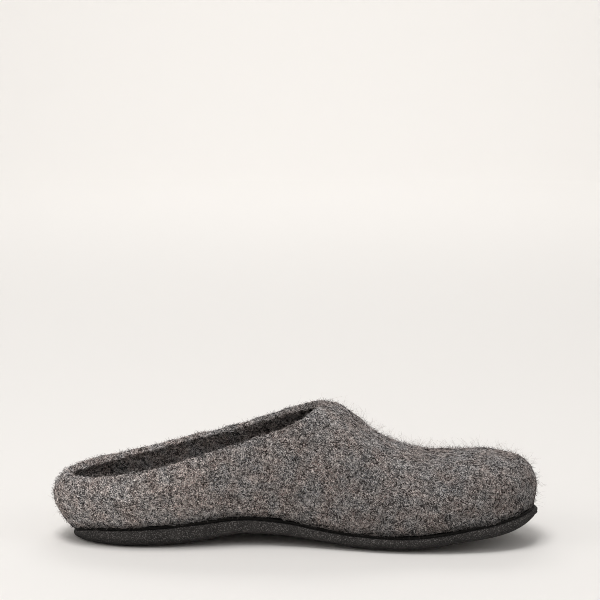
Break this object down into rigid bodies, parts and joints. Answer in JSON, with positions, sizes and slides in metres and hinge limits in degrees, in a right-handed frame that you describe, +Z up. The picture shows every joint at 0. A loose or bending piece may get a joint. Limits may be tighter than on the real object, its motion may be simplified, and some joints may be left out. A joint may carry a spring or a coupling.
{
  "type": "felt slipper",
  "caption": "Low-backed felt house slipper for the left foot: a thick seamless wool upper open at the collar, a felt footbed, a thin black layer and a moulded charcoal sole.",
  "frame": {"origin": "middle of the slipper's footprint, on the floor it stands on", "axes": "+X towards the toe, +Y towards the outer side of the left foot, +Z up"},
  "size_m": [0.2797, 0.0963, 0.0784],
  "materials": {
    "wool_felt": "thick warm grey wool felt with wavy light and dark fibres",
    "footbed_felt": "matt grey felt",
    "black_layer": "matt black",
    "charcoal_rubber": "matt charcoal with fine pale specks"
  },
  "bodies": {
    "root": {"upper": "wool_felt", "insole": "footbed_felt", "midsole": "black_layer", "outsole": "charcoal_rubber"}
  },
  "joints": []
}
